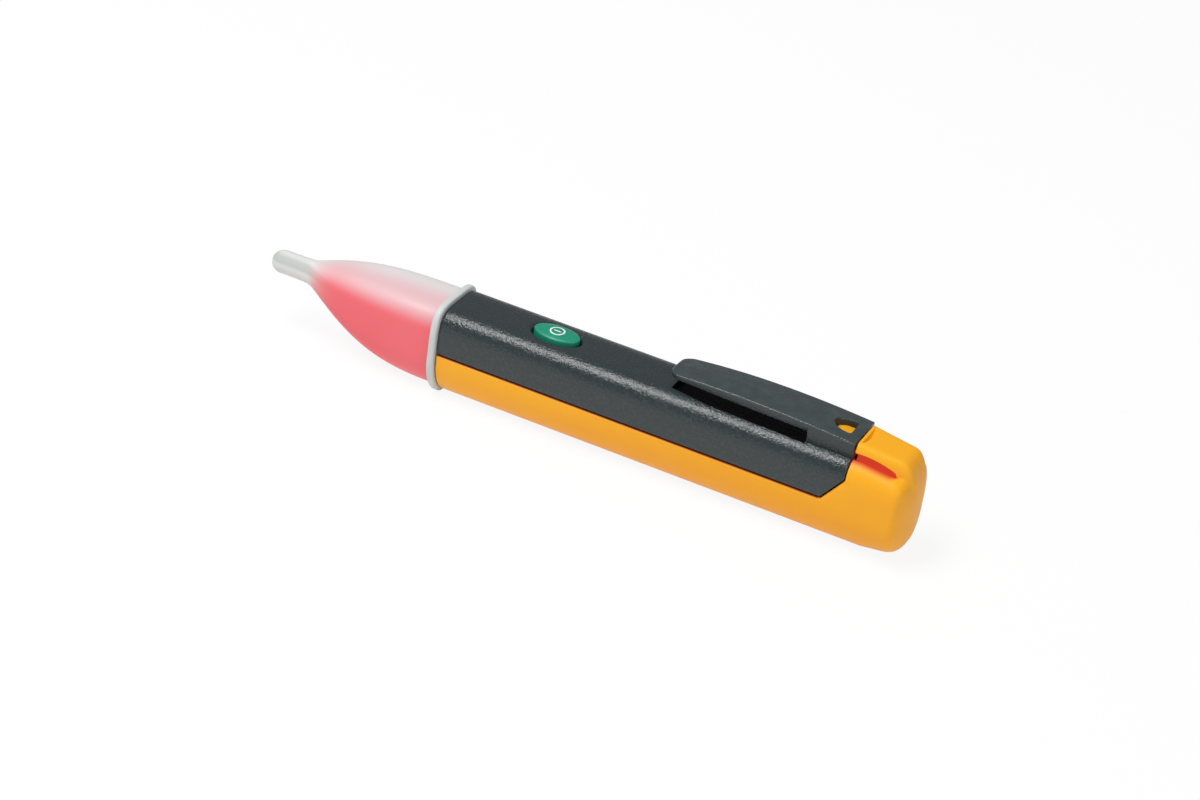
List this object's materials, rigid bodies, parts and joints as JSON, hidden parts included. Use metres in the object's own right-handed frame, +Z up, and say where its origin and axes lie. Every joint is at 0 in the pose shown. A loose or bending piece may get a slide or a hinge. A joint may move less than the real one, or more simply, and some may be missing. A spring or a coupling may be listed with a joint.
{
  "type": "non contact voltage tester",
  "caption": "Pen-shaped non-contact voltage tester with a frosted probe nose, sprung button, pocket clip and a battery tray that unlatches and slides off the rear.",
  "frame": {"origin": "on the surface it lies on, under the middle of the pen", "axes": "+X along the pen from the probe tip to the rear end, +Z up through the button"},
  "size_m": [0.15, 0.0182, 0.0249],
  "materials": {
    "frosted_lens": "frosted translucent, glowing red when lit",
    "charcoal_plastic": "fine spark-textured moulding",
    "orange_plastic": "satin moulding",
    "green_button": "satin moulding with a printed sign",
    "board_laminate": "solder mask",
    "black_moulding": "matte moulding",
    "red_lamp": "clear red",
    "copper_wire": "drawn",
    "capacitor_case": "matte",
    "nickel_sheet": "plated sheet",
    "spring_steel": "plated wire",
    "cell_wrap": "plain printed wrap"
  },
  "bodies": {
    "housing": {"nose_lens": "frosted_lens", "upper_cover": "charcoal_plastic", "clip_root": "charcoal_plastic", "circuit_board": "board_laminate", "switch_body": "black_moulding", "indicator_led": "red_lamp", "sensor_antenna": "copper_wire", "sounder": "black_moulding", "controller_chip": "black_moulding", "sense_resistor_1": "black_moulding", "sense_resistor_2": "black_moulding", "supply_capacitor": "capacitor_case", "front_contact": "nickel_sheet", "return_contact": "nickel_sheet"},
    "clip": {"pocket_clip": "charcoal_plastic"},
    "button": {"power_button": "green_button", "switch_plunger": "black_moulding"},
    "tray": {"battery_tray": "orange_plastic", "battery_front": "cell_wrap", "battery_rear": "cell_wrap", "rear_contact": "nickel_sheet", "contact_spring": "spring_steel"},
    "latch": {"latch_beam": "orange_plastic"}
  },
  "joints": [
    {"name": "button_press", "type": "slide", "parent": "housing", "child": "button", "axis": [0, 0, -1], "range_m": [0, 0.0005], "stiffness_N_per_m": 4000},
    {"name": "clip_flex", "type": "hinge", "parent": "housing", "child": "clip", "pos_m": [0.05115, 0, 0.02364], "axis": [0, 1, 0], "range_deg": [0, 4], "stiffness_Nm_per_rad": 3},
    {"name": "tray_slide", "type": "slide", "parent": "housing", "child": "tray", "axis": [1, 0, 0], "range_m": [0, 0.1]},
    {"name": "latch_press", "type": "hinge", "parent": "tray", "child": "latch", "pos_m": [0.07125, 0, 0.0204], "axis": [0, -1, 0], "range_deg": [0, 3.5], "stiffness_Nm_per_rad": 1.5}
  ]
}
